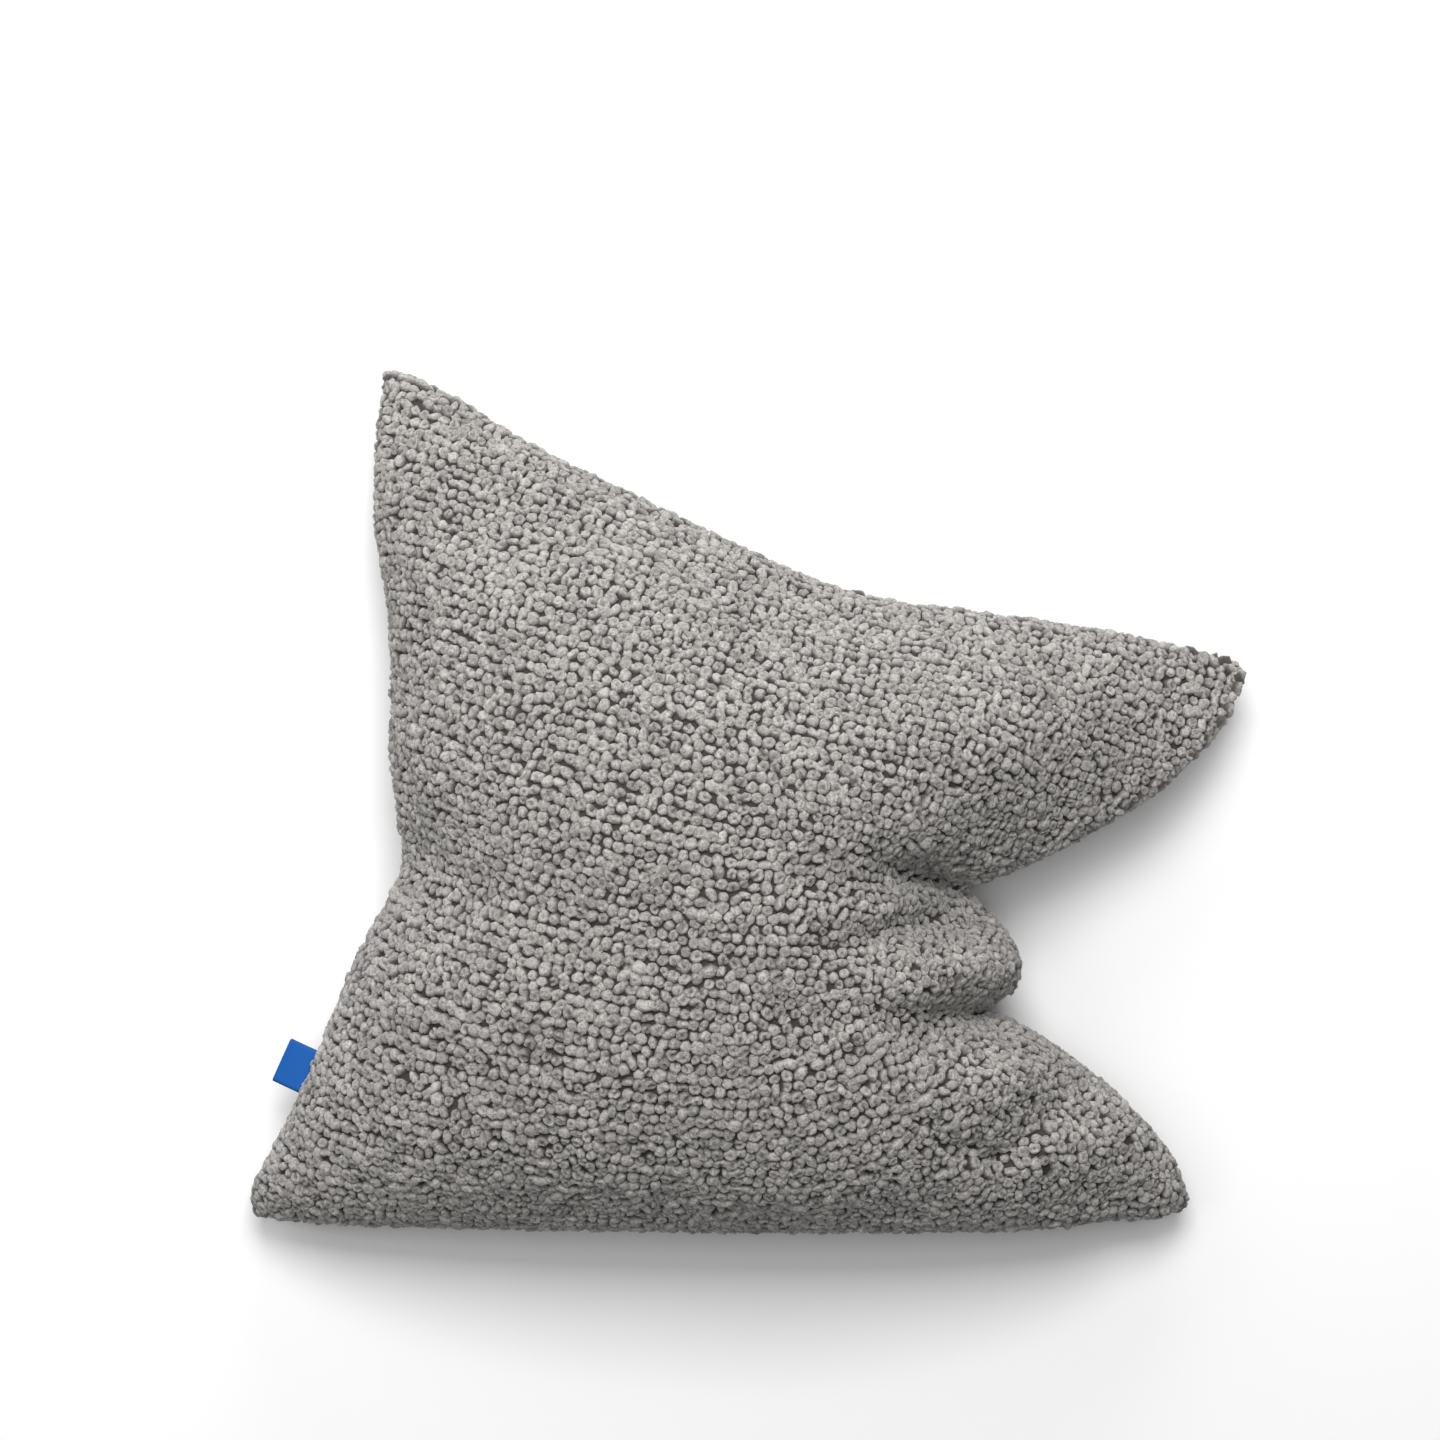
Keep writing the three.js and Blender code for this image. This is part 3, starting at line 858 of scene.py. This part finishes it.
def folded_tab(seam_place, outward, along, material):
    """A tape folded back on itself. Its path runs out along an arc, turns half round at the fold
    and runs back, and a flat section with rounded edges is carried along it."""
    turn = math.radians(TAB_DROOP)
    fold = (TAB_CLOTH + TAB_GAP) / 2
    straight = TAB_REACH - TAB_ROOT - fold - TAB_CLOTH / 2
    bent = turn * np.linspace(0, 1, TAB_STEPS)
    reach = straight / turn * np.sin(bent)
    sunk = -straight / turn * (1 - np.cos(bent))
    normal = np.stack([np.sin(bent), np.cos(bent)], -1)
    centre = np.stack([reach, sunk], -1)
    round_turn = np.linspace(math.pi / 2, -math.pi / 2, TAB_TURN_STEPS)[1:-1] - turn
    round_normal = np.stack([np.cos(round_turn), np.sin(round_turn)], -1)
    outer, inner = centre + fold * normal, (centre - fold * normal)[::-1]
    path = np.vstack([outer, centre[-1] + fold * round_normal, inner])
    lift = np.vstack([normal, round_normal, -normal[::-1]])
    length = np.concatenate([[0], np.cumsum(np.linalg.norm(np.diff(path, axis=0), axis=1))])
    wide = np.linspace(-1, 1, TAB_STEPS_ACROSS)
    edge_round = np.sqrt(np.maximum(1 - np.abs(wide) ** TAB_SQUARENESS, 0))
    half = TAB_CLOTH / 2 * edge_round
    section_w = np.concatenate([wide, wide[::-1][1:-1]]) * TAB_WIDTH / 2
    section_h = np.concatenate([half, -half[::-1][1:-1]])
    steps, ring = len(path), len(section_w)
    flat = path[:, None] + lift[:, None] * section_h[None, :, None]
    up = np.array([0, 0, 1.0])
    base = seam_place + outward * TAB_ROOT * MM
    points = (
        base + flat[..., :1] * MM * outward + flat[..., 1:] * MM * up
        + section_w[None, :, None] * MM * along
    ).reshape(-1, 3)
    numbers = np.arange(steps * ring).reshape(steps, ring)
    after = np.roll(numbers, -1, axis=1)
    walls = np.stack([numbers[:-1], after[:-1], after[1:], numbers[1:]], -1).reshape(-1, 4)
    ends = np.stack([numbers[0, ::-1], numbers[-1]])
    piece = placed_mesh("tab_tape", points, [walls, ends], material)
    weave = np.stack(np.broadcast_arrays(length[:, None], section_w[None]), -1).reshape(-1, 2)
    mapped(piece, "weave", np.vstack([weave[walls.ravel()], weave[ends.ravel()]]))
    return piece, length[-1] * MM


def settle(panels, shift):
    """Lets the cover find its own small wrinkles. A coarser shell of both panels, cut a little
    large, is run as cloth under pressure, with its seam and its resting patch held. Each point's
    move is eased off towards a cap, and is carried over to the fine grids."""
    coarse = [Panel(panel.side, SETTLE_CELLS) for panel in panels]
    for panel in coarse:
        panel.points += shift
    points, faces = shell(*(panel.points for panel in coarse))
    piece = placed_mesh("settling_cover", points, [faces], None)
    numbers = shell_numbers(*coarse[0].points.shape[:2])
    seam = np.concatenate([numbers[0][0], numbers[0][-1], numbers[0][:, 0], numbers[0][:, -1]])
    resting = np.nonzero(points[:, 2] < REST_TOUCH * MM)[0]
    held = piece.vertex_groups.new(name="held")
    held.add(np.unique(np.concatenate([seam, resting])).tolist(), 1, "REPLACE")
    cloth = piece.modifiers.new("cloth", "CLOTH")
    cloth.settings.quality = SETTLE_QUALITY
    cloth.settings.mass = SETTLE_MASS
    cloth.settings.use_pressure = True
    cloth.settings.uniform_pressure_force = SETTLE_PRESSURE
    cloth.settings.effector_weights.gravity = 0
    cloth.settings.shrink_min = -SETTLE_EXCESS
    cloth.settings.vertex_group_mass = held.name
    cloth.point_cache.frame_end = SETTLE_FRAMES
    for step in range(1, SETTLE_FRAMES + 1):
        bpy.context.scene.frame_set(step)
    settled = piece.evaluated_get(bpy.context.evaluated_depsgraph_get()).to_mesh()
    found = np.empty(len(points) * 3, np.float32)
    settled.vertices.foreach_get("co", found)
    bpy.context.scene.frame_set(1)
    bpy.data.objects.remove(piece)
    moved = found.reshape(-1, 3) - points
    length = np.maximum(np.linalg.norm(moved, axis=1, keepdims=True), 1e-9)
    moved = moved / length * np.tanh(length / (SETTLE_CAP * MM)) * SETTLE_CAP * MM
    for panel, own, number in zip(panels, coarse, numbers):
        across, down = np.meshgrid(panel.across, panel.down)
        inside = np.minimum(across, 1 - across) * np.minimum(down, 1 - down)
        eased = smoothstep(inside / SETTLE_MARGIN)[..., None]
        panel.points += own.read(moved[number], across, down) * eased


yarn = looped_yarn()
ground = ground_cloth_and_painted_shade()
tape = woven_tape()

face = Panel(1, COVER_CELLS)
back = Panel(-1, COVER_CELLS)
low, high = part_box("cushion")
ends = np.vstack([face.points.reshape(-1, 3), back.points.reshape(-1, 3)])
shift = np.array((low + high) / 2) - (ends.min(0) + ends.max(0)) / 2
shift[2] = 0
face.points += shift
back.points += shift
settle((face, back), shift)

cushion = dress(cover(face, back, ground), "boucle", "cushion")

rng = np.random.default_rng(SEED)
for panel, label, rings, sides, parts in (
    (face, "face", FACE_RINGS, FACE_SIDES, ("top", "upper", "lower", "bottom")),
    (back, "back", BACK_RINGS, BACK_SIDES, ("upper", "lower")),
):
    found = knob_places(panel, rng)
    for part, some in zip(parts, np.array_split(found, len(parts))):
        piece = knob_mesh(f"{label}_loops_{part}", some, rings, sides, yarn, rng)
        dress(piece, "boucle")

seam_place = on_panel(1, np.array(0.0), np.array(TAB_PLACE)) * MM + shift
span = [left(np.array(TAB_PLACE + way * TAB_SEAM_SPAN / 2)) for way in (-1, 1)]
along = span[0] - span[1]
along[2] = 0
along = unit(along)
outward = np.cross([0, 0, 1], along)
tab, tape_length = folded_tab(seam_place, outward, along, tape)
dress(tab, "tab", "tab")


def softbox(name, lamp):
    """A square area light at its place, turned to face its aim."""
    light = bpy.data.lights.new(name, "AREA")
    light.shape = "RECTANGLE"
    light.size = light.size_y = LAMP_SIZE
    light.energy = lamp.watts
    holder = placed(name, light)
    holder.location = lamp.place
    facing = Vector(lamp.aim) - Vector(lamp.place)
    holder.rotation_euler = facing.to_track_quat("-Z", "Y").to_euler()


def studio():
    """A pale floor, large soft lights above, beyond the top and to the left, and a faint sky."""
    floor_mesh = bpy.data.meshes.new("floor")
    corners = np.array([(-1, -1, 0), (1, -1, 0), (1, 1, 0), (-1, 1, 0)]) * FLOOR_REACH
    floor_mesh.from_pydata(corners.tolist(), [], [(0, 1, 2, 3)])
    pale = Finish("pale_floor")
    floor_mesh.materials.append(pale.done(Base_Color=FLOOR_PAINT, Roughness=0.9))
    placed("floor", floor_mesh)
    for name, lamp in LAMPS.items():
        softbox(name, lamp)
    world = bpy.data.worlds.new("studio")
    world.use_nodes = True
    sky = world.node_tree.nodes["Background"]
    sky.inputs["Color"].default_value = SKY
    sky.inputs["Strength"].default_value = SKY_STRENGTH
    bpy.context.scene.world = world
    bpy.context.scene.view_settings.view_transform = "Standard"


def camera(shift):
    """Straight above the face, with the photograph's frame on the plane of the seams."""
    lens = bpy.data.cameras.new("camera")
    lens.sensor_width = SENSOR_WIDTH
    lens.lens = SENSOR_WIDTH * CAMERA_DISTANCE / (PHOTO_MM * MM)
    lens.clip_end = FARTHEST_SEEN
    holder = placed("camera", lens)
    x, y = PHOTO_CENTRE
    holder.location = (x * MM + shift[0], y * MM + shift[1], CAMERA_DISTANCE + SEAM_PLANE * MM)
    bpy.context.scene.camera = holder


studio()
camera(shift)
